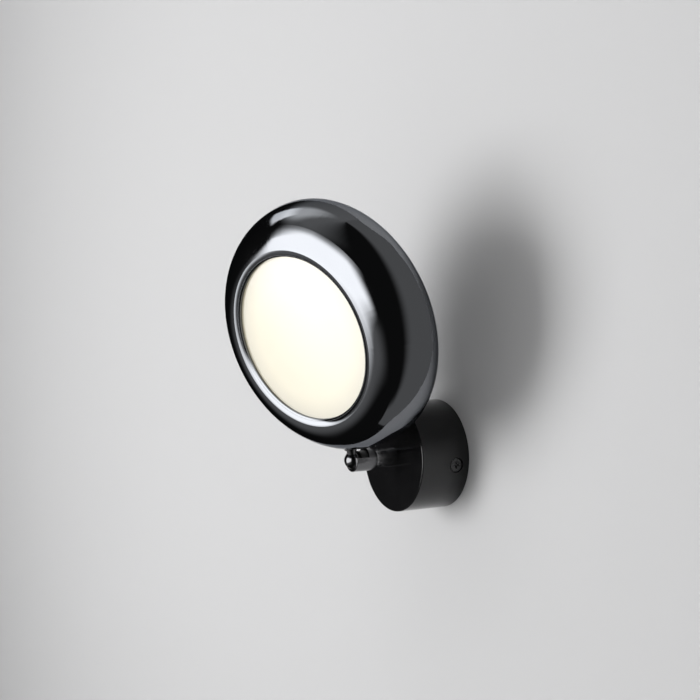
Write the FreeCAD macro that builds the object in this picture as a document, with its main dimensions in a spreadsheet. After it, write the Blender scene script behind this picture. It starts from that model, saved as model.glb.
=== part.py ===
"""Wall spotlight: a glossy round head on a ball joint, carried by a short arm on a round base.

Row frame, in millimetres: the origin is the centre of the base's rear rim, on the wall.
+Z is up, +Y goes into the wall, -Y into the room, and +X is right seen from the room.
Every turned piece is drawn as half a section and revolved. Its axis is its body's own
Y axis (base, arm, socket and head) or Z axis (stem and bush).
"""
import FreeCAD, Part
import math
import os
import Sketcher

os.makedirs("parts", exist_ok=True)
doc = FreeCAD.newDocument("wall_spotlight")
sheet = doc.addObject("Spreadsheet::Sheet", "sizes")


# ---------------------------------------------------------------- driving sizes
SIZES = {
    # base cover and what it covers
    "base_diameter": 80,          # outside of the round cover
    "base_depth": 40,             # wall to the cover's front face
    "cover_wall": 3.5,
    "cover_edge": 0.8,            # rounding of the front edge
    "side_screw_out": 10.7,       # side screws' distance from the wall
    "side_screw_drop": 3.3,       # and below the base's axis
    "side_screw_radius": 2.5,
    "side_head_radius": 4.6,
    "side_head_height": 1.8,
    "side_head_sunk": 2.6,        # how deep the head sits in the cover
    "side_head_play": 1,          # head to its counterbore, on the radius
    "side_screw_length": 8,
    "recess_length": 5,           # the cross in each side screw's head
    "recess_width": 1.3,
    "recess_depth": 1.2,
    "screw_clearance": 0.1,       # radial, round every screw shank
    "plate_side_gap": 0.8,        # plate's edge to the inside of the cover
    "plate_thickness": 1.5,
    "plate_gap": 1.5,             # lug face to the inside of the cover
    "lug_width": 14,
    "lug_length": 16.5,
    "slot_spacing": 50,           # wall screws, hole to hole
    "slot_length": 10,
    "slot_width": 4.6,
    "cable_hole_radius": 9,
    "grommet_bore_radius": 6,
    "grommet_lip": 1.2,
    "terminal_length": 28,
    "terminal_height": 13,
    "terminal_depth": 14,
    "terminal_gap": 6.8,          # its upper corners to the plate's edge
    "terminal_pitch": 9,
    "terminal_screw_radius": 2,
    "terminal_well": 4,           # depth of each clamp screw's well
    "terminal_screw_length": 3,
    "driver_length": 42,
    "driver_depth": 16,
    "driver_gap": 2,              # its lower corners to the cover, and its top to the washer
    "driver_cap": 2,              # thickness of its lid
    "earth_below": 16,
    "earth_radius": 2,
    "earth_head_radius": 3.8,
    # arm
    "arm_root_radius": 7.2,       # at the cover's front face
    "arm_tip_radius": 6.3,        # at the socket
    "arm_length": 17.3,
    "arm_edge": 0.4,
    "spigot_radius": 5,
    "spigot_length": 10,
    "arm_bore_radius": 2.6,       # the wires' way
    "journal_radius": 4.5,
    "journal_length": 4.8,
    "groove_depth": 0.6,
    "groove_width": 2.7,
    "washer_radius": 9,
    "washer_thickness": 1,
    "arm_nut_flats": 14,
    "arm_nut_height": 4,
    "fit": 0.05,                  # running clearance of every turning fit, on the radius
    "face_gap": 0.2,              # between faces that turn past each other
    # socket and ball
    "socket_radius": 8.4,
    "socket_edge": 0.6,
    "ball_radius": 6.5,
    "socket_reach": 15.8,         # the socket's rear face to the ball's centre
    "socket_lip": 1.7,            # the socket's rim beyond the ball's centre
    "notch_floor": 3.4,           # the notch's floor above the socket's axis
    "notch_hollow": 1.2,          # how far its closed end curves back over the seat
    "shoulder_thickness": 4.8,    # the socket's rear wall, round the journal
    "seat_front": 4,              # the seat's mouth behind the ball's centre
    "seat_hole_radius": 2.4,
    "spring_thickness": 0.4,
    "spring_rise": 0.2,
    "spring_inner_radius": 4.2,
    "grub_radius": 1.25,
    "grub_length": 4.1,
    "grub_entry": 0.2,            # how far its tip stands in the groove
    # stem
    "neck_radius": 3.6,
    "neck_top": 8.9,              # ball's centre to the collar
    "collar_radius": 5,
    "collar_thickness": 1.95,
    "stem_radius": 4,
    "stem_bore_radius": 1.7,
    "slip_ring_thickness": 0.6,
    "stem_nut_height": 3,
    "stem_nut_flats": 11,
    "top_washer_thickness": 0.5,
    "top_washer_radius": 5.6,
    # head
    "head_radius": 90,
    "head_front": 33.2,             # widest plane to the front lip
    "head_back": 26,              # widest plane to the flat back
    "front_rise": 27,             # widest radius to where the front turns over
    "back_rise": 40,              # widest radius to the flat back
    "shell_wall": 1.5,
    "lip_radius": 10,
    "lip_width": 3.4,
    "sleeve_length": 6,           # straight part behind the rolled lip
    "bush_flange_radius": 6,
    "bush_flange": 0.55,
    "bush_radius": 5,
    "bush_length": 9,
    "bush_nut_flats": 13,
    "bush_nut_height": 3,
    "bush_nut_rise": 1.8,         # above the shell's inner face, because that face is hollow
    "bezel_gap": 0.2,
    "bezel_recess": 2.4,          # the bezel's face behind the front lip
    "bezel_lip": 0.8,
    "bezel_wall": 0.8,
    "window_ledge": 0.6,          # how far the bezel's lip laps over the diffuser
    "bezel_depth": 8.4,
    "diffuser_gap": 0.2,
    "diffuser_thickness": 3,
    "gasket_width": 5,
    "gasket_thickness": 1,
    "reflector_thickness": 0.8,
    "reflector_flange": 4,
    "reflector_depth": 17.5,
    "board_margin": 16.5,         # the diffuser's edge to the board's, on the radius
    "board_wire_hole_radius": 2,
    "board_thickness": 1.6,
    "chip_size": 3,
    "chip_height": 0.8,
    "inner_ring_radius": 14,
    "inner_ring_count": 8,
    "outer_ring_inset": 7,        # the spacers' centres to the outer chips
    "outer_ring_count": 16,
    "sink_margin": 4,             # the board's edge to the heat sink's
    "sink_plate": 4,
    "fin_thickness": 2,
    "fin_height": 12,
    "fin_start": 16,
    "fin_count": 12,
    "spacer_radius": 4,
    "spacer_inset": 6,            # the board's edge to the spacers' centres
    "spacer_turn": 15,            # degrees, so that the screws miss the wire hole
    "spacer_count": 3,
    "sink_screw_radius": 1.5,
    "sink_head_radius": 2.75,
    "sink_head_height": 1.8,
    "sink_screw_bite": 6,         # into the spacer
    "wire_hole_radius": 3.2,
    "wire_hole_inset": 3.5,
    # the stored pose, in degrees
    "socket_turn": 7,             # socket about the arm
    "head_lean": 14,              # stem from upright towards the room
    "head_spin": 17.4,            # head about the stem
}


class Size:
    """A length that knows its value now and the formula that drives it."""

    def __init__(self, value, text):
        self.value = float(value)
        self.text = text

    @staticmethod
    def of(other):
        return other if isinstance(other, Size) else Size(other, repr(float(other)))

    def __add__(self, other):
        other = Size.of(other)
        return Size(self.value + other.value, f"({self.text} + {other.text})")

    def __sub__(self, other):
        other = Size.of(other)
        return Size(self.value - other.value, f"({self.text} - {other.text})")

    def __mul__(self, other):
        other = Size.of(other)
        return Size(self.value * other.value, f"({self.text} * {other.text})")

    def __truediv__(self, other):
        other = Size.of(other)
        return Size(self.value / other.value, f"({self.text} / {other.text})")

    def __neg__(self):
        return Size(-self.value, f"(-1 * {self.text})")

    def __rsub__(self, other):
        return Size.of(other) - self

    __radd__ = __add__
    __rmul__ = __mul__

    def root(self):
        return Size(math.sqrt(self.value), f"sqrt({self.text})")


class Sizes:
    """The sheet's cells by their names."""

    def __getattr__(self, name):
        return Size(sheet.get(name), f"sizes.{name}")


for row, (alias, number) in enumerate(SIZES.items(), start=1):
    sheet.set(f"A{row}", alias)
    sheet.set(f"B{row}", str(number))
    sheet.setAlias(f"B{row}", alias)
doc.recompute()
S = Sizes()


# ---------------------------------------------------------------- places that pieces share
cover_radius = S.base_diameter / 2
cover_inner = cover_radius - S.cover_wall
cover_front = -S.base_depth
cover_inside = cover_front + S.cover_wall
plate_front = -S.plate_thickness
plate_radius = cover_inner - S.plate_side_gap
arm_tip = cover_front - S.arm_length
socket_rear = arm_tip - S.face_gap
ball_y = socket_rear - S.socket_reach
socket_rim = ball_y - S.socket_lip
socket_shoulder = socket_rear - S.shoulder_thickness
seat_radius = S.ball_radius + S.fit
groove_y = arm_tip - S.journal_length / 2
collar_top = S.neck_top + S.collar_thickness
shell_foot = collar_top + S.slip_ring_thickness + S.bush_flange
head_reach = shell_foot + S.head_radius
bush_top = shell_foot + S.bush_length
bezel_face = -S.head_front + S.bezel_recess
diffuser_face = bezel_face + S.bezel_lip
diffuser_back = diffuser_face + S.diffuser_thickness
gasket_back = diffuser_back + S.gasket_thickness
board_back = gasket_back + S.reflector_depth + S.board_thickness
board_face = board_back - S.board_thickness
sink_back = board_back + S.sink_plate
shell_inside_back = S.head_back - S.shell_wall
front_land_radius = S.head_radius - S.front_rise
back_flat_radius = S.head_radius - S.back_rise
sleeve_radius = front_land_radius - S.lip_width
bezel_radius = sleeve_radius - S.bezel_gap
pocket_radius = bezel_radius - S.bezel_wall
window_radius = pocket_radius - S.window_ledge
disc_radius = pocket_radius - S.diffuser_gap
board_radius = disc_radius - S.board_margin
sink_radius = board_radius + S.sink_margin
spacer_circle = board_radius - S.spacer_inset
outer_ring_radius = spacer_circle - S.outer_ring_inset
wire_hole_below = board_radius - S.wire_hole_inset

turned = FreeCAD.Rotation(FreeCAD.Vector(0, 1, 0), S.socket_turn.value)
leaned = FreeCAD.Rotation(FreeCAD.Vector(1, 0, 0), S.head_lean.value)
spun = FreeCAD.Rotation(FreeCAD.Vector(0, 0, 1), S.head_spin.value)
ball_centre = FreeCAD.Vector(0, ball_y.value, 0)
WALL_FRAME = FreeCAD.Placement()
SOCKET_FRAME = FreeCAD.Placement(FreeCAD.Vector(0, 0, 0), turned)
STEM_FRAME = FreeCAD.Placement(ball_centre, turned.multiply(leaned))
SWIVEL_FRAME = FreeCAD.Placement(ball_centre, turned.multiply(leaned).multiply(spun))
HEAD_FRAME = SWIVEL_FRAME.multiply(
    FreeCAD.Placement(FreeCAD.Vector(0, 0, head_reach.value), FreeCAD.Rotation()))


# ---------------------------------------------------------------- drawing helpers
PIECES = []


def piece(label, frame):
    """A new body under the piece's own name, placed in the frame that it rides in."""
    body = doc.addObject("PartDesign::Body", label)
    body.Label = label
    body.AllowCompound = True
    body.Placement = frame
    PIECES.append(body)
    return body


def sketch(body, role, name):
    """An empty sketch on one of the body's own origin planes."""
    plane = next(part for part in body.Origin.OriginFeatures if part.Role == role)
    drawn = body.newObject("Sketcher::SketchObject", name)
    drawn.AttachmentSupport = [(plane, "")]
    drawn.MapMode = "FlatFace"
    return drawn


def measure(drawn, kind, geometry, value, name):
    """One driving dimension, tied to its formula."""
    index = drawn.addConstraint(Sketcher.Constraint(kind, *geometry, value.value))
    drawn.renameConstraint(index, name)
    drawn.setExpression(f"Constraints.{name}", value.text)


def arc_between(start, end, radius, turn):
    """The short arc from start to end, and whether it runs anticlockwise."""
    chord = end - start
    middle = (start + end) * 0.5
    rise = math.sqrt(max(radius ** 2 - (chord.Length / 2) ** 2, 0))
    across = FreeCAD.Vector(-chord.y, chord.x, 0).normalize()
    centre = middle + across * (rise * turn)
    circle = Part.Circle(centre, FreeCAD.Vector(0, 0, 1), radius)
    first, last = (start, end) if turn > 0 else (end, start)
    angles = [math.atan2(p.y - centre.y, p.x - centre.x) for p in (first, last)]
    if angles[1] < angles[0]:
        angles[1] += 2 * math.pi
    return Part.ArcOfCircle(circle, *angles)


def outline(drawn, corners, prefix="p"):
    """A closed outline. A corner is (x, y), or (x, y, radius, turn) where the run that
    leaves it is an arc: turn is 1 for anticlockwise and -1 for clockwise. A radius of None
    is half a circle, which its two ends give."""
    corners = [tuple(v if v is None else Size.of(v) for v in c[:3]) + tuple(c[3:]) for c in corners]
    spots = [FreeCAD.Vector(c[0].value, c[1].value, 0) for c in corners]
    runs = []
    for i, corner in enumerate(corners):
        after = spots[(i + 1) % len(spots)]
        if len(corner) == 4:
            half = corner[2] is None
            radius = (after - spots[i]).Length / 2 if half else corner[2].value
            index = drawn.addGeometry(arc_between(spots[i], after, radius, corner[3]))
            ends = (1, 2) if corner[3] > 0 else (2, 1)
            upright = abs(after.x - spots[i].x) < abs(after.y - spots[i].y)
            if not half:
                measure(drawn, "Radius", (index,), corner[2], f"{prefix}r{i}")
            elif upright:
                measure(drawn, "DistanceX", (-1, 1, index, 3), corner[0], f"{prefix}r{i}")
            else:
                measure(drawn, "DistanceY", (-1, 1, index, 3), corner[1], f"{prefix}r{i}")
        else:
            index = drawn.addGeometry(Part.LineSegment(spots[i], after))
            ends = (1, 2)
        runs.append((index, *ends))
    for i, corner in enumerate(corners):
        before = runs[i - 1]
        here = runs[i]
        drawn.addConstraint(Sketcher.Constraint("Coincident", before[0], before[2], here[0], here[1]))
        measure(drawn, "DistanceX", (-1, 1, here[0], here[1]), corner[0], f"{prefix}x{i}")
        measure(drawn, "DistanceY", (-1, 1, here[0], here[1]), corner[1], f"{prefix}y{i}")


def box_outline(drawn, low_x, high_x, low_y, high_y, prefix="p"):
    outline(drawn, [(low_x, low_y), (high_x, low_y), (high_x, high_y), (low_x, high_y)], prefix)


def circle(drawn, x, y, radius, prefix="c"):
    """A full circle at a measured place."""
    x, y, radius = Size.of(x), Size.of(y), Size.of(radius)
    centre = FreeCAD.Vector(x.value, y.value, 0)
    index = drawn.addGeometry(Part.Circle(centre, FreeCAD.Vector(0, 0, 1), radius.value))
    measure(drawn, "Radius", (index,), radius, f"{prefix}r")
    measure(drawn, "DistanceX", (-1, 1, index, 3), x, f"{prefix}x")
    measure(drawn, "DistanceY", (-1, 1, index, 3), y, f"{prefix}y")


def hexagon(drawn, flats, prefix="hex"):
    """A hexagon round the origin, given by its width over the flats."""
    reach = flats / 2
    half = reach * (1 / math.sqrt(3))
    outline(drawn, [(half, -reach), (half * 2, 0), (half, reach),
                    (-half, reach), (-half * 2, 0), (-half, -reach)], prefix)


def revolve(body, drawn, cut=False):
    """The outline turned right round the sketch's vertical axis."""
    kind = "Groove" if cut else "Revolution"
    made = body.newObject(f"PartDesign::{kind}", f"{drawn.Name}_{kind.lower()}")
    made.Profile = drawn
    made.ReferenceAxis = (drawn, ["V_Axis"])
    made.Angle = 360
    drawn.Visibility = False
    return made


def extrude(body, drawn, length, reverse=False, cut=False):
    """The outline pushed square to its plane, as metal or as a cut."""
    kind = "Pocket" if cut else "Pad"
    made = body.newObject(f"PartDesign::{kind}", f"{drawn.Name}_{kind.lower()}")
    made.Profile = drawn
    made.setExpression("Length", Size.of(length).text)
    made.Reversed = reverse
    drawn.Visibility = False
    return made


def cut_through(body, drawn, both=False, reverse=False):
    """The outline cut right through the body: one way, or both ways from its plane."""
    made = body.newObject("PartDesign::Pocket", f"{drawn.Name}_pocket")
    made.Profile = drawn
    made.Type = "ThroughAll"
    made.Midplane = both
    made.Reversed = reverse
    drawn.Visibility = False
    return made


def ring_of(body, features, count, role="Y_Axis"):
    """The features repeated evenly round one of the body's axes."""
    axis = next(part for part in body.Origin.OriginFeatures if part.Role == role)
    made = body.newObject("PartDesign::PolarPattern", f"{features[0].Name}_ring")
    made.Originals = features
    made.Axis = (axis, [""])
    made.Angle = 360
    made.setExpression("Occurrences", count.text)
    body.Tip = made
    return made


def mirror_of(body, features, role):
    """The features mirrored in one of the body's planes."""
    plane = next(part for part in body.Origin.OriginFeatures if part.Role == role)
    made = body.newObject("PartDesign::Mirrored", f"{features[0].Name}_mirror")
    made.Originals = features
    made.MirrorPlane = (plane, [""])
    body.Tip = made
    return made


def turned_ring(label, frame, inner, outer, low, high, role="XY_Plane"):
    """A plain washer or ring."""
    body = piece(label, frame)
    drawn = sketch(body, role, f"{label}_section")
    box_outline(drawn, inner, outer, low, high)
    revolve(body, drawn)
    return body


def hex_nut(label, frame, flats, bore, low, high, upright):
    """A hexagon nut from low to high along its frame's Y axis, or its Z axis if upright."""
    body = piece(label, frame)
    drawn = sketch(body, "XY_Plane" if upright else "XZ_Plane", f"{label}_hexagon")
    lift = low.value if upright else -low.value
    drawn.AttachmentOffset = FreeCAD.Placement(FreeCAD.Vector(0, 0, lift), FreeCAD.Rotation())
    drawn.setExpression("AttachmentOffset.Base.z", low.text if upright else (-low).text)
    hexagon(drawn, flats)
    circle(drawn, 0, 0, bore, "bore")
    extrude(body, drawn, high - low, reverse=not upright)
    return body


def quarter(flat_radius, depth):
    """Two tangent arcs that round the head from its widest plane to a flat: their radii and
    where they meet, at 45 degrees, as (radius, half thickness) from the widest plane."""
    slope = math.sqrt(0.5)
    rise = S.head_radius - flat_radius
    spread = slope - (1 - slope)
    rim_arc = (depth * slope - rise * (1 - slope)) / spread
    land_arc = (rise * slope - depth * (1 - slope)) / spread
    meet_radius = flat_radius + land_arc * slope
    meet_depth = depth - land_arc * (1 - slope)
    return rim_arc, land_arc, meet_radius, meet_depth


# ================================================================ base
# Wall plate: a pressed steel disc with two wall slots, a cable hole and two tapped lugs.
body = piece("wall_plate", WALL_FRAME)
drawn = sketch(body, "XZ_Plane", "plate_disc")
circle(drawn, 0, 0, plate_radius, "edge")
circle(drawn, 0, 0, S.cable_hole_radius, "hole")
circle(drawn, 0, -S.earth_below, S.earth_radius + S.screw_clearance, "earth")
extrude(body, drawn, S.plate_thickness)
lug_face = ((cover_inner * cover_inner - S.side_screw_drop * S.side_screw_drop).root()
            - S.plate_gap)
lug_foot = -S.side_screw_drop - S.lug_width / 2
lug_head = -S.side_screw_drop + S.lug_width / 2
drawn = sketch(body, "XZ_Plane", "plate_tab")
box_outline(drawn, lug_face - S.lug_width, lug_face, lug_foot, lug_head)
tab = extrude(body, drawn, S.plate_thickness)
drawn = sketch(body, "XZ_Plane", "plate_lug")
box_outline(drawn, lug_face - S.plate_thickness, lug_face, lug_foot, lug_head)
lug = extrude(body, drawn, S.lug_length)
mirror_of(body, [tab, lug], "YZ_Plane")
slot_reach = (S.slot_length - S.slot_width) / 2
slot_near = S.slot_spacing / 2 - slot_reach
slot_far = S.slot_spacing / 2 + slot_reach
half_slot = S.slot_width / 2
drawn = sketch(body, "XZ_Plane", "plate_slot")
outline(drawn, [(slot_near, -half_slot), (slot_far, -half_slot, None, 1),
                (slot_far, half_slot), (slot_near, half_slot, None, 1)])
slot = cut_through(body, drawn, both=True)
mirror_of(body, [slot], "YZ_Plane")
drawn = sketch(body, "YZ_Plane", "lug_hole")
circle(drawn, -S.side_screw_out, -S.side_screw_drop, S.side_screw_radius + S.fit)
cut_through(body, drawn, both=True)

# Cover: a turned cup, open towards the wall.
body = piece("base_cover", WALL_FRAME)
drawn = sketch(body, "XY_Plane", "cover_section")
cover_hole = S.spigot_radius + S.fit
outline(drawn, [
    (cover_radius, 0),
    (cover_inner, 0),
    (cover_inner, cover_inside),
    (cover_hole, cover_inside),
    (cover_hole, cover_front),
    (cover_radius - S.cover_edge, cover_front, S.cover_edge, 1),
    (cover_radius, cover_front + S.cover_edge),
])
revolve(body, drawn)
head_seat = ((cover_radius * cover_radius - S.side_screw_drop * S.side_screw_drop).root()
             - S.side_head_sunk)
drawn = sketch(body, "YZ_Plane", "cover_screw_hole")
circle(drawn, -S.side_screw_out, -S.side_screw_drop, S.side_screw_radius + S.screw_clearance)
cut_through(body, drawn, both=True)
drawn = sketch(body, "YZ_Plane", "cover_counterbore")
drawn.setExpression("AttachmentOffset.Base.z", head_seat.text)
circle(drawn, -S.side_screw_out, -S.side_screw_drop, S.side_head_radius + S.side_head_play)
sunk = extrude(body, drawn, S.cover_wall, reverse=True, cut=True)
mirror_of(body, [sunk], "YZ_Plane")

# Side screws: two low heads with cross recesses, which hold the cover on the plate's lugs.
body = piece("side_screws", WALL_FRAME)
drawn = sketch(body, "YZ_Plane", "side_screw_head")
drawn.setExpression("AttachmentOffset.Base.z", head_seat.text)
circle(drawn, -S.side_screw_out, -S.side_screw_drop, S.side_head_radius)
head = extrude(body, drawn, S.side_head_height)
drawn = sketch(body, "YZ_Plane", "side_screw_shank")
drawn.setExpression("AttachmentOffset.Base.z", head_seat.text)
circle(drawn, -S.side_screw_out, -S.side_screw_drop, S.side_screw_radius)
shank = extrude(body, drawn, S.side_screw_length, reverse=True)
arm_end = S.recess_length / 2
arm_side = S.recess_width / 2
drawn = sketch(body, "YZ_Plane", "side_screw_recess")
drawn.setExpression("AttachmentOffset.Base.z", (head_seat + S.side_head_height).text)
across = -S.side_screw_out
level = -S.side_screw_drop
outline(drawn, [
    (across + arm_side, level + arm_side),
    (across + arm_side, level + arm_end),
    (across - arm_side, level + arm_end),
    (across - arm_side, level + arm_side),
    (across - arm_end, level + arm_side),
    (across - arm_end, level - arm_side),
    (across - arm_side, level - arm_side),
    (across - arm_side, level - arm_end),
    (across + arm_side, level - arm_end),
    (across + arm_side, level - arm_side),
    (across + arm_end, level - arm_side),
    (across + arm_end, level + arm_side),
])
recess = extrude(body, drawn, S.recess_depth, cut=True)
mirror_of(body, [head, shank, recess], "YZ_Plane")

# Grommet in the plate's cable hole, where the building's wires come in.
body = piece("cable_grommet", WALL_FRAME)
drawn = sketch(body, "XY_Plane", "grommet_section")
outline(drawn, [
    (S.grommet_bore_radius, 0),
    (S.cable_hole_radius - S.fit, 0),
    (S.cable_hole_radius - S.fit, plate_front),
    (S.cable_hole_radius + S.grommet_lip, plate_front),
    (S.cable_hole_radius + S.grommet_lip, plate_front - S.grommet_lip),
    (S.grommet_bore_radius, plate_front - S.grommet_lip),
])
revolve(body, drawn)

# Terminal block, with its three clamp screws.
terminal_half = S.terminal_length / 2
terminal_top = (plate_radius * plate_radius - terminal_half * terminal_half).root() - S.terminal_gap
terminal_foot = terminal_top - S.terminal_height
body = piece("terminal_block", WALL_FRAME)
drawn = sketch(body, "XZ_Plane", "terminal_body")
drawn.setExpression("AttachmentOffset.Base.z", S.plate_thickness.text)
box_outline(drawn, -terminal_half, terminal_half, terminal_foot, terminal_top)
extrude(body, drawn, S.terminal_depth)
terminal_front = plate_front - S.terminal_depth
terminal_middle = terminal_foot + S.terminal_height / 2
for place, name in ((-1, "left"), (0, "middle"), (1, "right")):
    drawn = sketch(body, "XZ_Plane", f"terminal_well_{name}")
    drawn.setExpression("AttachmentOffset.Base.z", (-terminal_front).text)
    circle(drawn, S.terminal_pitch * place, terminal_middle, S.terminal_screw_radius + S.screw_clearance)
    extrude(body, drawn, S.terminal_well, cut=True)
body = piece("terminal_screws", WALL_FRAME)
for place, name in ((-1, "left"), (0, "middle"), (1, "right")):
    drawn = sketch(body, "XZ_Plane", f"terminal_screw_{name}")
    drawn.setExpression("AttachmentOffset.Base.z", (-terminal_front - S.terminal_well).text)
    circle(drawn, S.terminal_pitch * place, terminal_middle, S.terminal_screw_radius)
    extrude(body, drawn, S.terminal_screw_length)

# Earth screw, through the plate.
body = piece("earth_screw", WALL_FRAME)
drawn = sketch(body, "XZ_Plane", "earth_head")
drawn.setExpression("AttachmentOffset.Base.z", S.plate_thickness.text)
circle(drawn, 0, -S.earth_below, S.earth_head_radius)
extrude(body, drawn, S.earth_radius)
drawn = sketch(body, "XZ_Plane", "earth_shank")
circle(drawn, 0, -S.earth_below, S.earth_radius)
extrude(body, drawn, S.plate_thickness)

# Driver: a potted case and its lid, fixed to the inside of the cover's front.
driver_half = S.driver_length / 2
driver_foot = S.driver_gap - (cover_inner * cover_inner - driver_half * driver_half).root()
driver_top = -S.washer_radius - S.driver_gap
for label, near, deep in (("driver_lid", cover_inside, S.driver_cap),
                          ("driver_case", cover_inside + S.driver_cap, S.driver_depth - S.driver_cap)):
    body = piece(label, WALL_FRAME)
    drawn = sketch(body, "XZ_Plane", f"{label}_outline")
    drawn.setExpression("AttachmentOffset.Base.z", (-near).text)
    box_outline(drawn, -driver_half, driver_half, driver_foot, driver_top)
    extrude(body, drawn, deep, reverse=True)

# Arm: one turned piece. Its spigot goes through the cover, and its journal into the socket.
body = piece("arm", WALL_FRAME)
drawn = sketch(body, "XY_Plane", "arm_section")
groove_floor = S.journal_radius - S.groove_depth
outline(drawn, [
    (S.arm_bore_radius, cover_front + S.spigot_length),
    (S.arm_bore_radius, arm_tip - S.journal_length),
    (S.journal_radius, arm_tip - S.journal_length),
    (S.journal_radius, groove_y - S.groove_width / 2),
    (groove_floor, groove_y - S.groove_width / 2),
    (groove_floor, groove_y + S.groove_width / 2),
    (S.journal_radius, groove_y + S.groove_width / 2),
    (S.journal_radius, arm_tip),
    (S.arm_tip_radius - S.arm_edge, arm_tip, S.arm_edge, 1),
    (S.arm_tip_radius, arm_tip + S.arm_edge),
    (S.arm_root_radius, cover_front),
    (S.spigot_radius, cover_front),
    (S.spigot_radius, cover_front + S.spigot_length),
])
revolve(body, drawn)
turned_ring("arm_washer", WALL_FRAME, S.spigot_radius + S.fit, S.washer_radius,
            cover_inside, cover_inside + S.washer_thickness)
nut_low = cover_inside + S.washer_thickness
hex_nut("arm_nut", WALL_FRAME, S.arm_nut_flats, S.spigot_radius + S.fit,
        nut_low, nut_low + S.arm_nut_height, upright=False)

# ================================================================ socket
# Socket: a turned barrel. It runs on the journal at its rear, and its front half grips the
# ball past the middle. A wide notch across its top, open to the front, lets the stem lean
# from upright to level and shows the ball.
body = piece("socket", SOCKET_FRAME)
drawn = sketch(body, "XY_Plane", "socket_section")
lip_radius = (seat_radius * seat_radius - S.socket_lip * S.socket_lip).root()
journal_bore = S.journal_radius + S.fit
outline(drawn, [
    (journal_bore, socket_rear),
    (journal_bore, socket_shoulder),
    (seat_radius, socket_shoulder),
    (seat_radius, ball_y, seat_radius, -1),
    (lip_radius, socket_rim),
    (S.socket_radius - S.socket_edge, socket_rim, S.socket_edge, 1),
    (S.socket_radius, socket_rim + S.socket_edge),
    (S.socket_radius, socket_rear - S.socket_edge, S.socket_edge, 1),
    (S.socket_radius - S.socket_edge, socket_rear),
])
revolve(body, drawn)
spring_stack = (S.spring_thickness + S.spring_rise) * 2
seat_rear = socket_shoulder - spring_stack
notch_side = seat_rear - S.notch_hollow
notch_half = S.socket_radius + S.face_gap
end_radius = (notch_half * notch_half + S.notch_hollow * S.notch_hollow) / (S.notch_hollow * 2)
drawn = sketch(body, "XY_Plane", "socket_notch")
drawn.setExpression("AttachmentOffset.Base.z", S.notch_floor.text)
outline(drawn, [
    (notch_half, socket_rim - S.face_gap),
    (notch_half, notch_side, end_radius, 1),
    (-notch_half, notch_side),
    (-notch_half, socket_rim - S.face_gap),
])
cut_through(body, drawn, reverse=True)
drawn = sketch(body, "XY_Plane", "socket_grub_hole")
circle(drawn, 0, groove_y, S.grub_radius + S.fit)
cut_through(body, drawn)

# Grub screw: its tip stands in the arm's groove, so the socket turns but can't come off.
body = piece("grub_screw", SOCKET_FRAME)
drawn = sketch(body, "XY_Plane", "grub_round")
drawn.setExpression("AttachmentOffset.Base.z", (-(S.journal_radius - S.grub_entry)).text)
circle(drawn, 0, groove_y, S.grub_radius)
extrude(body, drawn, S.grub_length, reverse=True)

# Seat: a nylon cup behind the ball.
body = piece("ball_seat", SOCKET_FRAME)
drawn = sketch(body, "XY_Plane", "seat_section")
seat_mouth = ball_y + S.seat_front
mouth_radius = (seat_radius * seat_radius - S.seat_front * S.seat_front).root()
hole_depth = (seat_radius * seat_radius - S.seat_hole_radius * S.seat_hole_radius).root()
outline(drawn, [
    (S.seat_hole_radius, seat_rear),
    (S.seat_hole_radius, ball_y + hole_depth, seat_radius, -1),
    (mouth_radius, seat_mouth),
    (S.ball_radius, seat_mouth),
    (S.ball_radius, seat_rear),
])
revolve(body, drawn)

# Two disc springs, face to face, press the seat against the ball.
for label, outer_y, inner_y in (
        ("disc_spring_rear", socket_shoulder, socket_shoulder - S.spring_rise),
        ("disc_spring_front", seat_rear + S.spring_thickness,
            seat_rear + S.spring_thickness + S.spring_rise)):
    body = piece(label, SOCKET_FRAME)
    drawn = sketch(body, "XY_Plane", f"{label}_section")
    outline(drawn, [
        (S.spring_inner_radius, inner_y - S.spring_thickness),
        (S.ball_radius - S.face_gap, outer_y - S.spring_thickness),
        (S.ball_radius - S.face_gap, outer_y),
        (S.spring_inner_radius, inner_y),
    ])
    revolve(body, drawn)

# ================================================================ stem
# Stem: ball, neck, collar and spigot in one turned piece, bored for the wires.
body = piece("ball_stem", STEM_FRAME)
drawn = sketch(body, "XZ_Plane", "stem_section")
neck_foot = (S.ball_radius * S.ball_radius - S.neck_radius * S.neck_radius).root()
stem_top = bush_top + S.top_washer_thickness + S.stem_nut_height
outline(drawn, [
    (0, -S.ball_radius, S.ball_radius, 1),
    (S.neck_radius, neck_foot),
    (S.neck_radius, S.neck_top),
    (S.collar_radius, S.neck_top),
    (S.collar_radius, collar_top),
    (S.stem_radius, collar_top),
    (S.stem_radius, stem_top),
    (S.stem_bore_radius, stem_top),
    (S.stem_bore_radius, 0),
    (0, 0),
])
revolve(body, drawn)
drawn = sketch(body, "XZ_Plane", "stem_wire_way")
half_right = FreeCAD.Rotation(FreeCAD.Vector(1, 0, 0), -45)
drawn.AttachmentOffset = FreeCAD.Placement(FreeCAD.Vector(), half_right)
circle(drawn, 0, 0, S.stem_bore_radius)
cut_through(body, drawn)

turned_ring("slip_ring", STEM_FRAME, S.stem_radius + S.fit, S.collar_radius,
            collar_top, collar_top + S.slip_ring_thickness, "XZ_Plane")
turned_ring("top_washer", STEM_FRAME, S.stem_radius + S.fit, S.top_washer_radius,
            bush_top, bush_top + S.top_washer_thickness, "XZ_Plane")
hex_nut("stem_nut", STEM_FRAME, S.stem_nut_flats, S.stem_radius + S.fit,
        bush_top + S.top_washer_thickness, stem_top, upright=True)

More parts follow.
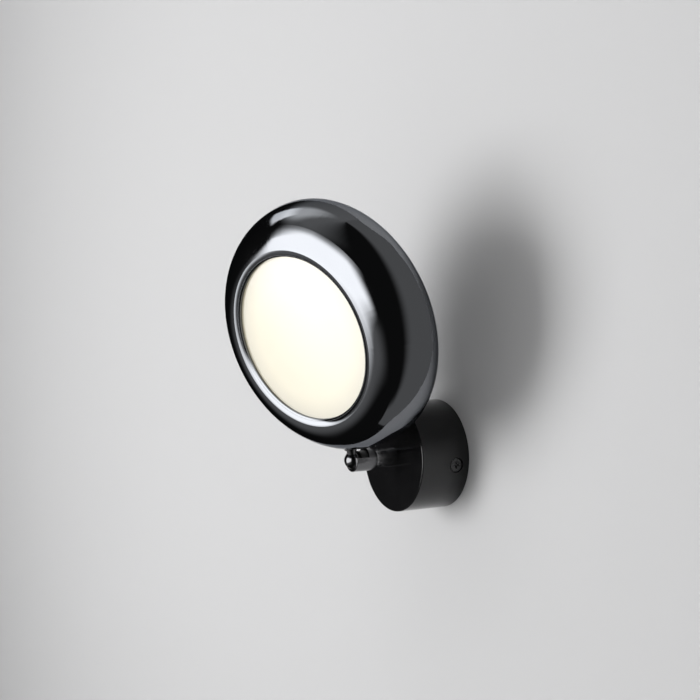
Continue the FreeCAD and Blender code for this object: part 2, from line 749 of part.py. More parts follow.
# ================================================================ head
# Bush: turns on the stem, and its flange carries the shell.
body = piece("swivel_bush", SWIVEL_FRAME)
drawn = sketch(body, "XZ_Plane", "bush_section")
bush_bore = S.stem_radius + S.fit
outline(drawn, [
    (bush_bore, shell_foot - S.bush_flange),
    (S.bush_flange_radius, shell_foot - S.bush_flange),
    (S.bush_flange_radius, shell_foot),
    (S.bush_radius, shell_foot),
    (S.bush_radius, bush_top),
    (bush_bore, bush_top),
])
revolve(body, drawn)
nut_foot = shell_foot + S.shell_wall + S.bush_nut_rise
hex_nut("bush_nut", SWIVEL_FRAME, S.bush_nut_flats, S.bush_radius + S.fit,
        nut_foot, nut_foot + S.bush_nut_height, upright=True)

# Shell: one spun bowl, rounded from its flat back over its widest plane to a rolled lip.
body = piece("head_shell", HEAD_FRAME)
drawn = sketch(body, "XY_Plane", "shell_section")
wall = S.shell_wall
lean_in = math.sqrt(0.5)
back_rim, back_land, back_meet, back_level = quarter(back_flat_radius, S.head_back)
front_rim, front_land, front_meet, front_level = quarter(front_land_radius, S.head_front)
lip_foot = -S.head_front + S.lip_radius - (
    S.lip_radius * S.lip_radius - S.lip_width * S.lip_width).root()
fold_reach = S.lip_width - wall
fold_radius = S.lip_radius - wall
lip_fold = -S.head_front + S.lip_radius - (
    fold_radius * fold_radius - fold_reach * fold_reach).root()
sleeve_end = lip_foot + S.sleeve_length
outline(drawn, [
    (0, S.head_back),
    (0, shell_inside_back),
    (back_flat_radius, shell_inside_back, back_land - wall, -1),
    (back_meet - wall * lean_in, back_level - wall * lean_in, back_rim - wall, -1),
    (S.head_radius - wall, 0, front_rim - wall, -1),
    (front_meet - wall * lean_in, -front_level + wall * lean_in, front_land - wall, -1),
    (front_land_radius, -S.head_front + wall, fold_radius, -1),
    (sleeve_radius + wall, lip_fold),
    (sleeve_radius + wall, sleeve_end),
    (sleeve_radius, sleeve_end),
    (sleeve_radius, lip_foot, S.lip_radius, 1),
    (front_land_radius, -S.head_front, front_land, 1),
    (front_meet, -front_level, front_rim, 1),
    (S.head_radius, 0, back_rim, 1),
    (back_meet, back_level, back_land, 1),
    (back_flat_radius, S.head_back),
])
revolve(body, drawn)
drawn = sketch(body, "XY_Plane", "shell_bush_hole")
circle(drawn, 0, 0, S.bush_radius + S.fit)
cut_through(body, drawn)

# Bezel: the ring that holds the diffuser, screwed into the rolled lip's sleeve.
body = piece("bezel_ring", HEAD_FRAME)
drawn = sketch(body, "XY_Plane", "bezel_section")
outline(drawn, [
    (window_radius, diffuser_face),
    (window_radius, bezel_face + S.bezel_lip / 2),
    (window_radius + S.bezel_lip / 2, bezel_face),
    (bezel_radius, bezel_face),
    (bezel_radius, bezel_face + S.bezel_depth),
    (pocket_radius, bezel_face + S.bezel_depth),
    (pocket_radius, diffuser_face),
])
revolve(body, drawn)
turned_ring("gasket", HEAD_FRAME, disc_radius - S.gasket_width, disc_radius,
            diffuser_back, gasket_back)

# Diffuser: a flat opal disc.
body = piece("diffuser", HEAD_FRAME)
drawn = sketch(body, "XZ_Plane", "diffuser_disc")
drawn.setExpression("AttachmentOffset.Base.z", (-diffuser_back).text)
circle(drawn, 0, 0, disc_radius)
extrude(body, drawn, S.diffuser_thickness)

# Reflector: a spun cone between the gasket and the board.
body = piece("reflector", HEAD_FRAME)
drawn = sketch(body, "XY_Plane", "reflector_section")
skin = S.reflector_thickness
mouth = disc_radius - S.reflector_flange
throat = board_radius - skin * 2
outline(drawn, [
    (disc_radius, gasket_back),
    (disc_radius, gasket_back + skin),
    (mouth + skin, gasket_back + skin),
    (throat + skin, board_face),
    (throat, board_face),
    (mouth, gasket_back),
])
revolve(body, drawn)

# Board, with its two rings of chips.
body = piece("led_board", HEAD_FRAME)
drawn = sketch(body, "XZ_Plane", "board_disc")
drawn.setExpression("AttachmentOffset.Base.z", (-board_back).text)
circle(drawn, 0, 0, board_radius, "edge")
circle(drawn, 0, -wire_hole_below, S.board_wire_hole_radius, "wire")
extrude(body, drawn, S.board_thickness)
drawn = sketch(body, "XZ_Plane", "board_screw_hole")
drawn.setExpression("AttachmentOffset.Base.z", (-board_back).text)
spacer_turn = math.radians(S.spacer_turn.value)
spacer_x = spacer_circle * math.cos(spacer_turn)
spacer_z = spacer_circle * math.sin(spacer_turn)
circle(drawn, spacer_x, spacer_z, S.sink_screw_radius + S.screw_clearance)
hole = cut_through(body, drawn, both=True)
ring_of(body, [hole], S.spacer_count)
for label, ring_radius, ring_count in (("inner_chips", S.inner_ring_radius, S.inner_ring_count),
                                       ("outer_chips", outer_ring_radius, S.outer_ring_count)):
    body = piece(label, HEAD_FRAME)
    drawn = sketch(body, "XZ_Plane", f"{label}_square")
    drawn.setExpression("AttachmentOffset.Base.z", (-board_face).text)
    box_outline(drawn, ring_radius - S.chip_size / 2, ring_radius + S.chip_size / 2,
                -S.chip_size / 2, S.chip_size / 2)
    chip = extrude(body, drawn, S.chip_height)
    ring_of(body, [chip], ring_count)

# Heat sink: a cast plate with radial fins.
body = piece("heat_sink", HEAD_FRAME)
drawn = sketch(body, "XZ_Plane", "sink_disc")
drawn.setExpression("AttachmentOffset.Base.z", (-sink_back).text)
circle(drawn, 0, 0, sink_radius, "edge")
circle(drawn, 0, -wire_hole_below, S.wire_hole_radius, "wire")
extrude(body, drawn, S.sink_plate)
drawn = sketch(body, "XZ_Plane", "sink_fin")
drawn.setExpression("AttachmentOffset.Base.z", (-sink_back).text)
box_outline(drawn, S.fin_start, sink_radius - S.fin_thickness,
            -S.fin_thickness / 2, S.fin_thickness / 2)
fin = extrude(body, drawn, S.fin_height, reverse=True)
ring_of(body, [fin], S.fin_count)
drawn = sketch(body, "XZ_Plane", "sink_screw_hole")
drawn.setExpression("AttachmentOffset.Base.z", (-sink_back).text)
circle(drawn, spacer_x, spacer_z, S.sink_screw_radius + S.screw_clearance)
hole = cut_through(body, drawn, both=True)
ring_of(body, [hole], S.spacer_count)

# Spacers: three posts from the shell's back to the heat sink, with their screws.
body = piece("spacers", HEAD_FRAME)
drawn = sketch(body, "XZ_Plane", "spacer_round")
drawn.setExpression("AttachmentOffset.Base.z", (-sink_back).text)
circle(drawn, spacer_x, spacer_z, S.spacer_radius, "post")
circle(drawn, spacer_x, spacer_z, S.sink_screw_radius + S.fit, "bore")
post = extrude(body, drawn, shell_inside_back - sink_back, reverse=True)
ring_of(body, [post], S.spacer_count)
body = piece("sink_screws", HEAD_FRAME)
drawn = sketch(body, "XZ_Plane", "sink_screw_head")
drawn.setExpression("AttachmentOffset.Base.z", (-board_face).text)
circle(drawn, spacer_x, spacer_z, S.sink_head_radius)
head = extrude(body, drawn, S.sink_head_height)
drawn = sketch(body, "XZ_Plane", "sink_screw_shank")
drawn.setExpression("AttachmentOffset.Base.z", (-board_face).text)
circle(drawn, spacer_x, spacer_z, S.sink_screw_radius)
shank = extrude(body, drawn, S.board_thickness + S.sink_plate + S.sink_screw_bite, reverse=True)
ring_of(body, [head, shank], S.spacer_count)


# ---------------------------------------------------------------- check and write
doc.recompute()
broken = [item.Label for item in doc.Objects
          if "Invalid" in item.State or "Error" in item.State]
if broken:
    raise RuntimeError(f"these did not recompute: {broken}")
for body in PIECES:
    shape = body.Shape
    if shape.isNull() or not shape.isValid() or not shape.Solids:
        raise RuntimeError(f"{body.Label} has no valid solid")
for body in PIECES:
    body.Shape.exportStep(f"parts/{body.Label}.step")
    print(f"{body.Label:18s} {len(body.Shape.Solids)} solid  {body.Shape.Volume / 1000:8.3f} cm3")
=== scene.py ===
"""Looks of the wall spotlight: a black-chromed head on a ball joint, carried by a short arm.

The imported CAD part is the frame. Sizes are in metres: the wall is the plane y = 0, the room
lies towards -y, and z is up.
"""
import math

import bmesh
import bpy
from mathutils import Matrix, Vector


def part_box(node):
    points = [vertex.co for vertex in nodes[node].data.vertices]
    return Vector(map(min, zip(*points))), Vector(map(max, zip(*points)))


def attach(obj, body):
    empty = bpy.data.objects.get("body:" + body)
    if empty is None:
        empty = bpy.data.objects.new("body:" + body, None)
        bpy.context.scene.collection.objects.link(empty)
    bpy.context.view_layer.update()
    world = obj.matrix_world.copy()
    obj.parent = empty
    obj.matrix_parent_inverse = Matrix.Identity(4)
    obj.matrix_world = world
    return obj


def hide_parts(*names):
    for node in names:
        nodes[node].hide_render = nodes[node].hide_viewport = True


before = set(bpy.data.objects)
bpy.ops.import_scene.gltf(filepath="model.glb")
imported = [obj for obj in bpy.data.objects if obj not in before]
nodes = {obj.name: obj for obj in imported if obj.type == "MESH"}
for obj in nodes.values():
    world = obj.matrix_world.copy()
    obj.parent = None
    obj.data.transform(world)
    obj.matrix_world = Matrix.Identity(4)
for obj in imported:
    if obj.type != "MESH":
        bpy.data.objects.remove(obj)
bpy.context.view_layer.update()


# ---------------------------------------------------------------- wall and floor
# A painted plaster wall carries the lamp, over a pale floor far below. The wall is clear from
# behind, and open where the base covers it, so that back views show the lamp and its plate.
class Value:
    """A shader socket that can be added, subtracted and multiplied. Each adds its Math node."""

    def __init__(self, finish, socket):
        self.finish = finish
        self.socket = socket

    def math(self, operation, *values):
        return self.finish.add("Math", {"operation": operation}, dict(enumerate(values)))

    def __add__(self, other):
        return self.math("ADD", self, other)

    def __sub__(self, other):
        return self.math("SUBTRACT", self, other)

    def __rsub__(self, other):
        return self.math("SUBTRACT", other, self)

    def __mul__(self, other):
        return self.math("MULTIPLY", self, other)

    __radd__ = __add__
    __rmul__ = __mul__


class Finish:
    """A material under construction, with its one Principled shader."""

    def __init__(self, name):
        self.material = bpy.data.materials.new(name)
        self.material.use_nodes = True
        self.tree = self.material.node_tree
        self.shader = self.tree.nodes["Principled BSDF"]
        self.place = Value(self, self.tree.nodes.new("ShaderNodeTexCoord").outputs["Object"])

    def add(self, kind, settings, sockets, output=0):
        """A node of that kind: its settings first, then the values or links of its sockets."""
        node = self.tree.nodes.new(f"ShaderNode{kind}")
        for name, setting in settings.items():
            setattr(node, name, setting)
        self.fill(node, sockets)
        return Value(self, node.outputs[output])

    def fill(self, node, sockets):
        for name, value in sockets.items():
            if isinstance(value, Value):
                self.tree.links.new(value.socket, node.inputs[name])
            else:
                node.inputs[name].default_value = value

    def noise(self, scale, detail=3):
        """Cloudy noise from 0 to 1, with features about 1/scale metres wide."""
        return self.add("TexNoise", {}, {"Vector": self.place, "Scale": scale, "Detail": detail})

    def blend(self, share, first, second):
        """A colour between two others."""
        return self.add("Mix", {"data_type": "RGBA"},
                        {"Factor": share, 6: first, 7: second}, output=2)

    def ease(self, value, low, high, from_value=0.0, to_value=1.0):
        """The value's stretch from low to high, eased to run between two other values."""
        return self.add("MapRange", {"interpolation_type": "SMOOTHSTEP"},
                        {"Value": value, "From Min": low, "From Max": high,
                         "To Min": from_value, "To Max": to_value})

    def cloudy(self, scale, low, high):
        """A number that drifts between low and high in clouds about 1/scale metres wide. The
        noise seldom leaves 0.3 to 0.7."""
        return self.ease(self.noise(scale), 0.3, 0.7, low, high)

    def bump(self, height, strength, distance):
        return self.add("Bump", {}, {"Height": height, "Strength": strength,
                                     "Distance": distance})

    def principled(self, **sockets):
        """Sets the shader's sockets, whose names are written with underscores."""
        self.fill(self.shader, {name.replace("_", " "): value for name, value in sockets.items()})


def rgb(red, green, blue):
    return (red, green, blue, 1.0)


def one_sided(finish, front, opened=None):
    """Ends a studio material: it is clear from behind, and where it is opened."""
    clear_where = finish.add("NewGeometry", {}, {}, output="Backfacing")
    if opened:
        clear_where = clear_where.math("MAXIMUM", clear_where, opened)
    clear = finish.add("BsdfTransparent", {}, {})
    surface = finish.add("MixShader", {}, {0: clear_where, 1: front, 2: clear})
    finish.tree.links.new(surface.socket, finish.tree.nodes["Material Output"].inputs["Surface"])


def studio_sheet(name, corners, faces, material):
    """A surface of the studio, made from these corners and faces and given that material."""
    mesh = bpy.data.meshes.new(name)
    mesh.from_pydata([Vector(corner) for corner in corners], [], faces)
    made = bpy.data.objects.new(name, mesh)
    bpy.context.scene.collection.objects.link(made)
    made.data.materials.append(material)
    return made


WALL_HALF = 4.0
WALL_GAP = 0.0002
OPENED_RADIUS = 0.038
FLOOR_DROP = 1.3
paint = Finish("wall_paint")
roller = paint.noise(900, detail=4)
paint.principled(Base_Color=rgb(0.62, 0.62, 0.625), Roughness=0.75,
                 Normal=paint.bump(roller, 0.05, 0.0004))
reach = paint.add("VectorMath", {"operation": "LENGTH"}, {0: paint.place}, "Value")
one_sided(paint, Value(paint, paint.shader.outputs[0]),
          reach.math("LESS_THAN", reach, OPENED_RADIUS))
studio_sheet("wall", [(-WALL_HALF, WALL_GAP, -FLOOR_DROP), (WALL_HALF, WALL_GAP, -FLOOR_DROP),
                      (WALL_HALF, WALL_GAP, WALL_HALF), (-WALL_HALF, WALL_GAP, WALL_HALF)],
             [(0, 1, 2, 3)], paint.material)
ground = Finish("floor_paint")
ground.principled(Base_Color=rgb(0.72, 0.72, 0.72), Roughness=ground.cloudy(6, 0.5, 0.65))
studio_sheet("floor", [(-WALL_HALF, -WALL_HALF, -FLOOR_DROP), (WALL_HALF, -WALL_HALF, -FLOOR_DROP),
                       (WALL_HALF, WALL_HALF, -FLOOR_DROP), (-WALL_HALF, WALL_HALF, -FLOOR_DROP)],
             [(0, 1, 2, 3)], ground.material)

# ---------------------------------------------------------------- curtains
# What polished metal mirrors: a round tent of black cloth from the wall outwards, with soft
# patches of light on it. Only reflections see it, and they see the wall through its rear opening.
HEAD_CENTRE = (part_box("diffuser")[0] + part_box("diffuser")[1]) / 2
TENT_RINGS = ((1.0, 0.0), (1.8, -0.25), (2.6, -1.0), (4.0, -2.5), (3.6, -4.2), (1.9, -5.0),
              (0.0, -5.2))          # radius and y of each ring, from the wall outwards
TENT_SIDES = 48
GAP_LEFT, GAP_RIGHT, GAP_TALL = 0.45, 0.10, 0.40    # the rear opening, from the head's centre
TENT_LIFT = 0.02                                    # above the floor
CLOTH_GLOW = 0.015
DEGREES = 180 / math.pi

curtains = Finish("curtains")
away = curtains.add("VectorMath", {"operation": "SUBTRACT"},
                    {0: curtains.place, 1: HEAD_CENTRE}, "Vector")
away = curtains.add("VectorMath", {"operation": "NORMALIZE"}, {0: away}, "Vector")
x_share, y_share, z_share = (curtains.add("SeparateXYZ", {}, {"Vector": away}, axis)
                             for axis in ("X", "Y", "Z"))
# Directions from the head's centre, in degrees right of straight out and above level.
turn = x_share.math("ARCTAN2", x_share, 0 - y_share) * DEGREES
rise = z_share.math("ARCSINE", z_share) * DEGREES
past_level = rise.math("MAXIMUM", rise - 8, 0.0)
past_middle = turn.math("MAXIMUM", turn + 10, 0.0)


def light_patch(strength, *edges):
    """A soft patch of light. Each edge is a direction, where it is dark and where it is full."""
    share = curtains.ease(*edges[0])
    for edge in edges[1:]:
        share = share * curtains.ease(*edge)
    return share * strength


softbox = light_patch(4.2, (turn, past_level * -0.45 - 37.5, past_level - 33.5), (turn, 43.0, 20.0),
                      (rise + past_middle * 0.25, 49.0, 25.0),
                      (rise - past_middle * 0.35, -34.0, -17.0))
high_panel = light_patch(2.6, (turn, -89.0, -86.0), (turn, -61.0, -66.0),
                         (rise, 32.0, 35.0), (rise, 55.0, 43.0))
ceiling = light_patch(1.1, (turn, -97.0, -80.0), (turn, -36.0, -62.0),
                      (rise, 38.0, 54.0), (rise, 86.0, 58.0))
above = light_patch(0.32, (rise, 38.0, 52.0), (turn, 45.0, -30.0))
below = light_patch(0.28, (rise, -58.0, -33.0), (rise, -10.0, -27.0),
                    (turn, 55.0, 5.0), (turn, -75.0, -45.0))
beside = light_patch(0.25, (turn, 92.0, 112.0))
shine = softbox + high_panel + ceiling + above + below + beside + CLOTH_GLOW
one_sided(curtains, curtains.add("Emission", {}, {"Color": shine, "Strength": 1.0}))

corners = []
for ring, (radius, y) in enumerate(TENT_RINGS):
    for side in range(TENT_SIDES):
        across = math.sin(side * math.tau / TENT_SIDES)
        upright = math.cos(side * math.tau / TENT_SIDES)
        x, z = radius * across, radius * upright
        if ring == 0:
            x *= GAP_LEFT if across < 0 else GAP_RIGHT
            z *= GAP_TALL
        corners.append((HEAD_CENTRE.x + x, y, max(HEAD_CENTRE.z + z, TENT_LIFT - FLOOR_DROP)))
faces = [(ring * TENT_SIDES + side, ring * TENT_SIDES + (side + 1) % TENT_SIDES,
          (ring + 1) * TENT_SIDES + (side + 1) % TENT_SIDES, (ring + 1) * TENT_SIDES + side)
         for ring in range(len(TENT_RINGS) - 1) for side in range(TENT_SIDES)]
tent = studio_sheet("curtains", corners, faces, curtains.material)
tent.visible_camera = False
tent.visible_diffuse = False
tent.visible_shadow = False
tent.visible_transmission = False


# ---------------------------------------------------------------- lights and camera
# One large soft light stands in front to the left, a smaller one hangs above, and the rest of
# the room is dim. The camera looks at the lamp from its right, a little from above.
def soft_light(name, turn, rise, distance, width, height, power, spread=180):
    """An area light that faces the head, from so many degrees right of straight out and
    above level. Reflections see the curtains in its place."""
    lamp = bpy.data.lights.new(name, "AREA")
    lamp.shape = "RECTANGLE"
    lamp.size = width
    lamp.size_y = height
    lamp.energy = power
    lamp.spread = math.radians(spread)
    made = bpy.data.objects.new(name, lamp)
    turn, rise = math.radians(turn), math.radians(rise)
    towards = Vector((math.sin(turn) * math.cos(rise), -math.cos(turn) * math.cos(rise),
                      math.sin(rise)))
    made.location = HEAD_CENTRE + towards * distance
    made.rotation_euler = towards.to_track_quat("Z", "Y").to_euler()
    made.visible_glossy = False
    bpy.context.scene.collection.objects.link(made)


soft_light("key_light", turn=-27, rise=-2, distance=1.9, width=1.2, height=1.2, power=12, spread=105)
soft_light("top_light", turn=0, rise=62, distance=1.8, width=1.0, height=0.7, power=5)

ROOM_LIGHT = 0.27           # what the room adds to the lamps
ROOM_SEEN = 0.85            # what the camera and reflections see of it
world = bpy.data.worlds.new("room")
world.use_nodes = True
bpy.context.scene.world = world
room = world.node_tree
rays = room.nodes.new("ShaderNodeLightPath")
looked_at = rays.outputs["Is Camera Ray"]
for kind in ("Is Glossy Ray", "Is Transmission Ray"):
    either = room.nodes.new("ShaderNodeMath")
    either.operation = "MAXIMUM"
    room.links.new(looked_at, either.inputs[0])
    room.links.new(rays.outputs[kind], either.inputs[1])
    looked_at = either.outputs[0]
strength = room.nodes.new("ShaderNodeMapRange")
strength.inputs["To Min"].default_value = ROOM_LIGHT
strength.inputs["To Max"].default_value = ROOM_SEEN
room.links.new(looked_at, strength.inputs["Value"])
backdrop = room.nodes["Background"]
backdrop.inputs["Color"].default_value = rgb(1, 1, 1)
room.links.new(strength.outputs["Result"], backdrop.inputs["Strength"])

CAMERA_TURN = 59.36
CAMERA_RISE = 3.98
CAMERA_PLACE = (0.85634, -0.58319, 0.14861)
camera = bpy.data.objects.new("camera", bpy.data.cameras.new("camera"))
camera.data.sensor_width = 36
camera.data.lens = 72
camera.location = CAMERA_PLACE
camera.rotation_euler = (math.radians(90 - CAMERA_RISE), 0, math.radians(CAMERA_TURN))
bpy.context.scene.collection.objects.link(camera)
bpy.context.scene.camera = camera
bpy.context.scene.view_settings.view_transform = "Standard"


# ---------------------------------------------------------------- wall plate
# A disc pressed from steel and zinc-plated, with a faint cloudy grain. Two screws through its
# slots hold it to the wall, and its two bent lugs take the cover's screws.
def wear(material, *names):
    """Gives CAD nodes their finish."""
    for name in names:
        nodes[name].data.materials.clear()
        nodes[name].data.materials.append(material)


zinc = Finish("zinc_steel")
cloud = zinc.noise(160, detail=5)
zinc.principled(Base_Color=zinc.blend(zinc.ease(cloud, 0.35, 0.65),
                                      rgb(0.52, 0.53, 0.55), rgb(0.66, 0.66, 0.66)),
                Metallic=1.0, Roughness=zinc.ease(cloud, 0.3, 0.7, 0.28, 0.42),
                Normal=zinc.bump(zinc.noise(3000), 0.08, 0.00005))
wear(zinc.material, "wall_plate")

# ---------------------------------------------------------------- cable grommet
# A ring moulded from black rubber, pushed into the plate's hole, so that the building's cable
# doesn't rub on the steel.
rubber = Finish("black_rubber")
rubber.principled(Base_Color=rubber.blend(rubber.noise(300), rgb(0.020, 0.020, 0.021),
                                          rgb(0.032, 0.032, 0.033)),
                  Roughness=rubber.cloudy(700, 0.55, 0.75),
                  Normal=rubber.bump(rubber.noise(2500), 0.15, 0.00005))
wear(rubber.material, "cable_grommet")

# ---------------------------------------------------------------- terminal block
# A block moulded from white nylon, fixed to the plate. It joins the building's wires to the
# lamp's.
terminal = Finish("terminal_plastic")
terminal.principled(Base_Color=terminal.blend(terminal.noise(120), rgb(0.80, 0.79, 0.74),
                                              rgb(0.86, 0.85, 0.80)),
                    Roughness=0.45, Normal=terminal.bump(terminal.noise(1800), 0.1, 0.00005))
wear(terminal.material, "terminal_block")

# ---------------------------------------------------------------- clamp screws and earth screw
# Plain brass, turned. Three screws clamp the wires in the block's wells, and one holds the
# earth wire on the plate.
brass = Finish("brass")
brass.principled(Base_Color=brass.blend(brass.noise(500), rgb(0.70, 0.52, 0.24),
                                        rgb(0.80, 0.63, 0.32)),
                 Metallic=1.0, Roughness=0.3)
wear(brass.material, "terminal_screws", "earth_screw")

# ---------------------------------------------------------------- driver
# A case and its lid, moulded from white polycarbonate and filled with resin. It is fixed to
# the inside of the cover's front.
case = Finish("driver_plastic")
case.principled(Base_Color=case.blend(case.noise(90), rgb(0.84, 0.84, 0.82),
                                      rgb(0.89, 0.89, 0.87)),
                Roughness=0.5, Normal=case.bump(case.noise(1500), 0.12, 0.00006))
wear(case.material, "driver_case", "driver_lid")

# ---------------------------------------------------------------- base cover
# An aluminium cup, turned and sprayed with smooth black lacquer. It closes over the plate, and
# stands on the wall.
lacquer = Finish("black_lacquer")
lacquer.principled(Base_Color=lacquer.blend(lacquer.noise(60), rgb(0.005, 0.005, 0.0055),
                                            rgb(0.007, 0.007, 0.0075)),
                   Roughness=lacquer.cloudy(140, 0.11, 0.16),
                   Normal=lacquer.bump(lacquer.noise(1600, detail=2), 0.02, 0.00005))
wear(lacquer.material, "base_cover")

# ---------------------------------------------------------------- side screws
# Low-headed screws with a cross recess, in blackened steel. They sit in the cover's side, one
# on each, and hold it on the plate's lugs.
steel = Finish("black_steel")
steel.principled(Base_Color=steel.blend(steel.noise(700), rgb(0.07, 0.07, 0.071),
                                        rgb(0.10, 0.10, 0.101)),
                 Metallic=1.0, Roughness=steel.cloudy(900, 0.20, 0.32))
wear(steel.material, "side_screws")

# ---------------------------------------------------------------- arm
# A brass bar, turned to a slight taper, polished and chromed. Its spigot goes through the
# cover's front, where a zinc-plated washer and nut hold it.
bright = Finish("turned_chrome")
bright.principled(Base_Color=bright.blend(bright.noise(80), rgb(0.55, 0.55, 0.56),
                                          rgb(0.61, 0.61, 0.62)),
                  Metallic=1.0, Roughness=bright.cloudy(300, 0.16, 0.24))
wear(bright.material, "arm")
wear(zinc.material, "arm_washer", "arm_nut")

# ---------------------------------------------------------------- socket
# A brass barrel, turned, milled open at the top, polished and plated in black chrome. It turns
# on the arm's end, where the grub screw keeps it.
chrome = Finish("black_chrome")
chrome.principled(Base_Color=chrome.blend(chrome.noise(80), rgb(0.15, 0.15, 0.155),
                                          rgb(0.17, 0.17, 0.175)),
                  Metallic=1.0, Roughness=chrome.cloudy(200, 0.10, 0.15))
wear(chrome.material, "socket")
wear(steel.material, "grub_screw")

# ---------------------------------------------------------------- seat and disc springs
# A cup moulded from black nylon behind the ball, and two pressed steel disc springs, face to
# face, that push it against the ball.
nylon = Finish("nylon")
nylon.principled(Base_Color=nylon.blend(nylon.noise(250), rgb(0.024, 0.024, 0.024),
                                        rgb(0.036, 0.036, 0.036)),
                 Roughness=nylon.cloudy(500, 0.4, 0.5))
wear(nylon.material, "ball_seat")
wear(zinc.material, "disc_spring_rear", "disc_spring_front")

# ---------------------------------------------------------------- stem
# Ball, neck and collar, turned from one brass bar and finished like the socket. A washer and a
# nut hold the head on it, over a nylon slip ring.
wear(chrome.material, "ball_stem")
wear(nylon.material, "slip_ring")
wear(zinc.material, "top_washer", "stem_nut")

# ---------------------------------------------------------------- bush
# A flanged brass bush, turned and black-chromed. It turns on the stem, and its nut clamps the
# shell against its flange.
wear(chrome.material, "swivel_bush")
wear(zinc.material, "bush_nut")

# ---------------------------------------------------------------- head shell
# An aluminium bowl, spun in one piece from its flat back to its rolled front lip, then
# polished and black-chromed to a smoked mirror.
mirror = Finish("smoked_mirror")
mirror.principled(Base_Color=mirror.blend(mirror.noise(25), rgb(0.205, 0.212, 0.225),
                                          rgb(0.222, 0.229, 0.242)),
                  Metallic=1.0, Roughness=mirror.cloudy(60, 0.05, 0.08),
                  Specular_Tint=rgb(0.45, 0.46, 0.48))
wear(mirror.material, "head_shell")

# ---------------------------------------------------------------- bezel
# A turned aluminium ring, finished like the shell, that screws into its lip and laps over it.
# Its face carries the lip's roll on, down to the diffuser, which stands in its pocket.
BALL_OUT = 0.0733                           # the ball's centre from the wall
HEAD_REACH = 0.102                          # the head's centre from the ball's
HEAD_TURN, HEAD_LEAN, HEAD_SPIN = 7, 14, 17.4
LIP_FRONT, LIP_START, LIP_ROLL = -0.0332, 0.063, 0.010      # y, outer radius and roll of the lip
FACE_RADIUS, FACE_ROLL = 0.0611, 0.0065     # outer edge of the ring's face, and its own roll
FACE_LEAN, FACE_STEPS = 38, 12
FLANGE_REAR, FLANGE_FRONT = 0.00003, 0.00018        # in front of the lip
FLANGE_FOOT, FLANGE_MIDDLE = 0.0597, 0.0604         # radii where the flange follows the lip
EDGE_DEPTH = 1.6                            # the inner edge's rounding, as a share of its width
EDGE_ANGLES = (30, 50, 70, 90)
SLEEVE_RADIUS, POCKET_RADIUS, WINDOW_RADIUS = 0.0594, 0.0586, 0.0582
DISC_FACE, BEZEL_BACK = -0.0300, -0.0224
TURNED_SIDES = 256
SHARP_ANGLE = 32


def turned(name, section, place, material):
    """A ring turned about the y axis from a closed section of (radius, y) points, then placed."""
    mesh = bpy.data.meshes.new(name)
    count = len(section)
    points = [place @ Vector((radius * math.sin(side * math.tau / TURNED_SIDES), y,
                              radius * math.cos(side * math.tau / TURNED_SIDES)))
              for side in range(TURNED_SIDES) for radius, y in section]
    quads = []
    for side in range(TURNED_SIDES):
        here, beyond = side * count, (side + 1) % TURNED_SIDES * count
        for first in range(count):
            second = (first + 1) % count
            quads.append((here + first, here + second, beyond + second, beyond + first))
    mesh.from_pydata(points, [], quads)
    work = bmesh.new()
    work.from_mesh(mesh)
    bmesh.ops.recalc_face_normals(work, faces=work.faces)
    work.to_mesh(mesh)
    work.free()
    mesh.shade_smooth()
    mesh.set_sharp_from_angle(angle=math.radians(SHARP_ANGLE))
    made = bpy.data.objects.new(name, mesh)
    bpy.context.scene.collection.objects.link(made)
    made.data.materials.append(material)
    return made


def on_lip(radius, in_front):
    """A point so far in front of the lip's surface at that radius."""
    roll_depth = LIP_ROLL - math.sqrt(LIP_ROLL ** 2 - (LIP_START - radius) ** 2)
    return (radius, LIP_FRONT + roll_depth - in_front)


head_place = (Matrix.Translation((0, -BALL_OUT, 0))
              @ Matrix.Rotation(math.radians(HEAD_TURN), 4, "Y")
              @ Matrix.Rotation(math.radians(HEAD_LEAN), 4, "X")
              @ Matrix.Rotation(math.radians(HEAD_SPIN), 4, "Z")
              @ Matrix.Translation((0, 0, HEAD_REACH)))
lean_start = math.asin((LIP_START - FACE_RADIUS) / LIP_ROLL)
lean_end = math.radians(FACE_LEAN)
face_start = on_lip(FACE_RADIUS, FLANGE_FRONT)[1]
section = []
for step in range(FACE_STEPS + 1):
    lean = lean_start + (lean_end - lean_start) * step / FACE_STEPS
    section.append((FACE_RADIUS - FACE_ROLL * (math.sin(lean) - math.sin(lean_start)),
                    face_start + FACE_ROLL * (math.cos(lean_start) - math.cos(lean))))
face_end_radius, face_end = section[-1]
edge_width = face_end_radius - WINDOW_RADIUS
for angle in EDGE_ANGLES:
    section.append((WINDOW_RADIUS + edge_width * (1 - math.sin(math.radians(angle))),
                    face_end + edge_width * EDGE_DEPTH * (1 - math.cos(math.radians(angle)))))
section += [
    (WINDOW_RADIUS, DISC_FACE),
    (POCKET_RADIUS, DISC_FACE),
    (POCKET_RADIUS, BEZEL_BACK),
    (SLEEVE_RADIUS, BEZEL_BACK),
    (SLEEVE_RADIUS, on_lip(FLANGE_FOOT, FLANGE_REAR)[1]),
    on_lip(FLANGE_FOOT, FLANGE_REAR),
    on_lip(FLANGE_MIDDLE, FLANGE_REAR),
    on_lip(FACE_RADIUS, FLANGE_REAR),
]
bezel = turned("bezel_trim", section, head_place, mirror.material)
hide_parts("bezel_ring")
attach(bezel, "head")

# ---------------------------------------------------------------- gasket
# A flat ring cut from black rubber. It presses the diffuser against the bezel's lip and keeps
# dust out.
wear(rubber.material, "gasket")

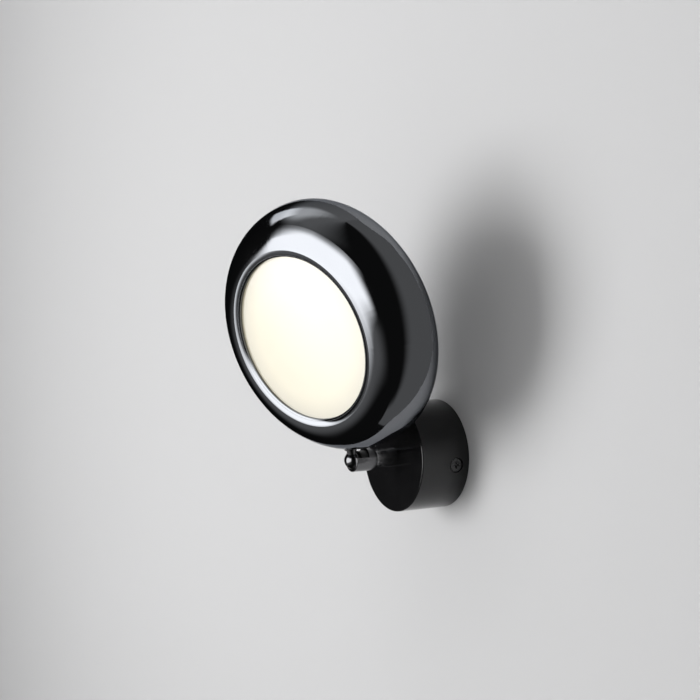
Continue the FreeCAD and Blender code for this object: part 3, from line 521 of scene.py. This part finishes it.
# ---------------------------------------------------------------- diffuser
# A flat disc cut from polished opal acrylic. The chips light it from behind, a little more in
# the middle than at its edge.
GLOW_INNER, GLOW_OUTER = 0.040, 0.064
opal = Finish("opal")
from_middle = opal.add("VectorMath", {"operation": "DISTANCE"},
                       {0: opal.place, 1: HEAD_CENTRE}, "Value")
glow = opal.ease(from_middle, GLOW_OUTER, GLOW_INNER)
opal.principled(Base_Color=opal.blend(opal.noise(70), rgb(0.71, 0.69, 0.635),
                                      rgb(0.73, 0.71, 0.655)),
                Roughness=0.14, Coat_Weight=1.0, Coat_Roughness=0.06,
                Emission_Color=opal.blend(glow, rgb(0.18, 0.16, 0.10), rgb(0.36, 0.32, 0.20)),
                Emission_Strength=1.0)
wear(opal.material, "diffuser")

# ---------------------------------------------------------------- reflector
# A cone spun from thin aluminium and coated white, which stands between the board and the
# gasket.
white = Finish("white_reflector")
white.principled(Base_Color=white.blend(white.noise(150), rgb(0.84, 0.84, 0.83),
                                        rgb(0.88, 0.88, 0.87)),
                 Roughness=white.cloudy(400, 0.3, 0.4))
wear(white.material, "reflector")

# ---------------------------------------------------------------- board and chips
# An aluminium board under white solder mask, screwed to the heat sink. Two rings of chips are
# soldered on it, each under a square of yellow phosphor.
board = Finish("board_white")
board.principled(Base_Color=board.blend(board.noise(200), rgb(0.84, 0.85, 0.85),
                                        rgb(0.88, 0.88, 0.88)),
                 Roughness=0.3)
wear(board.material, "led_board")
phosphor = Finish("led_phosphor")
phosphor.principled(Base_Color=phosphor.blend(phosphor.noise(900), rgb(0.92, 0.78, 0.30),
                                              rgb(0.95, 0.86, 0.42)),
                    Roughness=0.35)
wear(phosphor.material, "inner_chips", "outer_chips")

# ---------------------------------------------------------------- heat sink and spacers
# A finned plate cast in aluminium, on three posts that stand on the shell's back. Zinc-plated
# screws go through board and sink into the posts.
cast = Finish("cast_aluminium")
cast.principled(Base_Color=cast.blend(cast.noise(300), rgb(0.60, 0.60, 0.61),
                                      rgb(0.70, 0.70, 0.71)),
                Metallic=1.0, Roughness=cast.cloudy(500, 0.42, 0.58),
                Normal=cast.bump(cast.noise(1200), 0.25, 0.0001))
wear(cast.material, "heat_sink", "spacers")
wear(zinc.material, "sink_screws")
